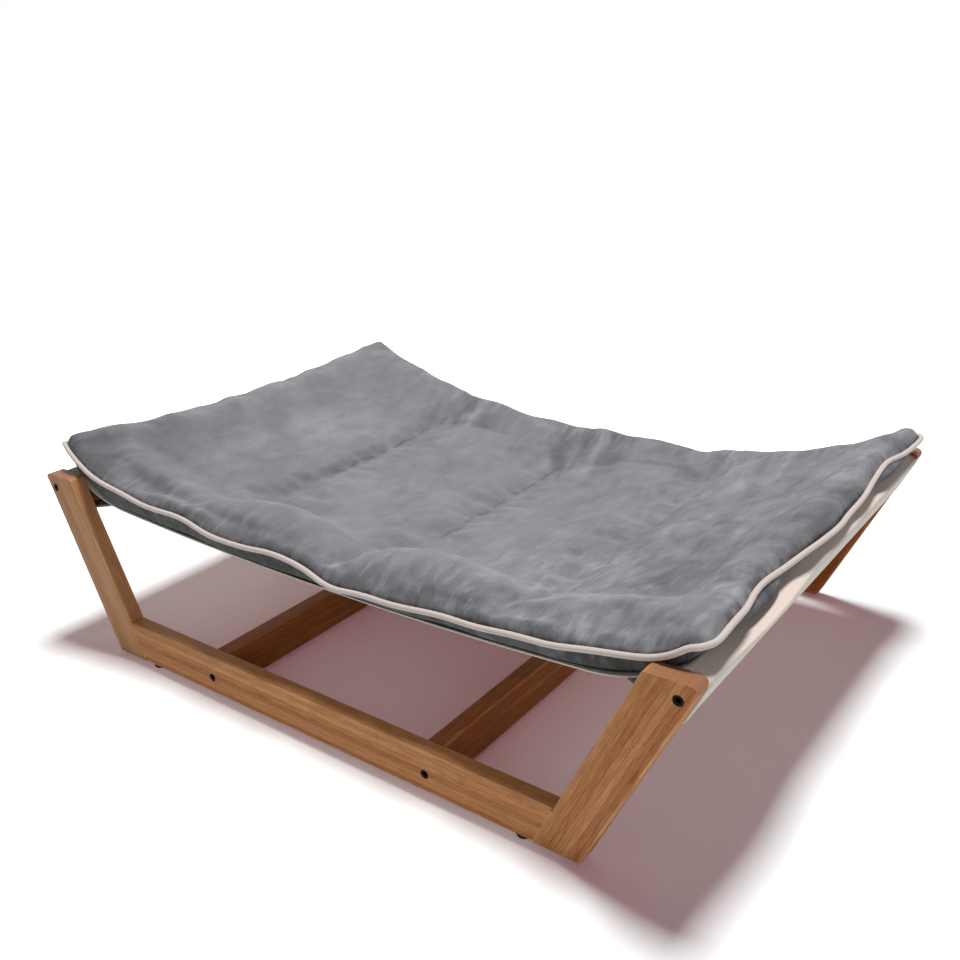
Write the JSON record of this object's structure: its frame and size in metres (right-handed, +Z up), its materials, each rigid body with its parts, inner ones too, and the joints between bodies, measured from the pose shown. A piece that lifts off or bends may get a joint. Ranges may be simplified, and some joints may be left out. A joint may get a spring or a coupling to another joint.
{
  "type": "cat hammock",
  "caption": "Low pet hammock: splayed bamboo legs and rails bolted to stretchers, a canvas sling hung between crossbars, and a loose padded cushion with a piped edge.",
  "frame": {"origin": "on the floor, at the middle of the object's plan", "axes": "+X along the hammock between its two raised ends, +Y from the front frame to the rear frame, +Z up"},
  "size_m": [0.8312, 0.62, 0.2494],
  "materials": {
    "bamboo": "satin lacquer over laminated bamboo strips",
    "dowel": "plain turned wood",
    "bolt": "black oxide",
    "insert": "plain",
    "foot": "matte",
    "screw": "zinc plated",
    "canvas": "plain woven canvas",
    "suede": "brushed short nap",
    "fill": "loose fibre",
    "piping": "plain woven binding"
  },
  "bodies": {
    "frame": {"front_left_leg": "bamboo", "front_right_leg": "bamboo", "rear_left_leg": "bamboo", "rear_right_leg": "bamboo", "front_rail": "bamboo", "rear_rail": "bamboo", "left_stretcher": "bamboo", "right_stretcher": "bamboo", "left_crossbar": "bamboo", "right_crossbar": "bamboo", "rail_dowels": "dowel", "stretcher_dowels": "dowel", "crossbar_dowels": "dowel", "stretcher_bolts": "bolt", "crossbar_bolts": "bolt", "stretcher_inserts": "insert", "crossbar_inserts": "insert", "feet": "foot", "foot_screws": "screw", "sling": "canvas"},
    "cushion": {"cushion_bottom_panel": "suede", "cushion_fill": "fill", "cushion_top_panel": "suede", "cushion_piping": "piping"}
  },
  "joints": [
    {"name": "cushion_lift", "type": "slide", "parent": "frame", "child": "cushion", "axis": [0, 0, 1], "range_m": [0, 0.25]}
  ]
}
